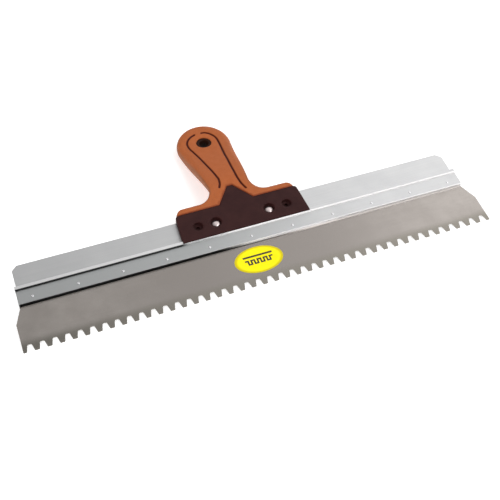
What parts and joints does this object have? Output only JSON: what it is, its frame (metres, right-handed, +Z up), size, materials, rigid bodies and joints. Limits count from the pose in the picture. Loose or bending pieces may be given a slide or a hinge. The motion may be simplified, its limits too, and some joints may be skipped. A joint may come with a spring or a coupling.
{
  "type": "notched trowel",
  "caption": "Wide facade trowel: a notched stainless blade held in an aluminium back profile, with a riveted two-component handle that bends back and has a hanging hole.",
  "frame": {"origin": "centre of the footprint, on the surface that the trowel lies on: it rests on its back, on the tooth tips and the back of the grip's head", "axes": "+X along the blade, towards the right-hand end as seen from the front with the handle up; +Y from the teeth to the handle; +Z up, out of the front face. The blade's own plane rises 7.70 degrees from the teeth to the handle."},
  "size_m": [0.45, 0.219, 0.0233],
  "materials": {
    "stainless": "bright rolled stainless sheet",
    "aluminium": "satin extruded and anodised",
    "pin_metal": "bright pressed pin ends",
    "hard_plastic": "dark brown, finely textured",
    "soft_plastic": "orange-brown, matte, slightly mottled",
    "rivet_metal": "bright, slightly dulled",
    "label": "glossy yellow vinyl"
  },
  "bodies": {
    "root": {"blade": "stainless", "back_profile": "aluminium", "blade_pins": "pin_metal", "handle_core": "hard_plastic", "soft_grip": "soft_plastic", "handle_rivets": "rivet_metal", "blade_label": "label"}
  },
  "joints": []
}
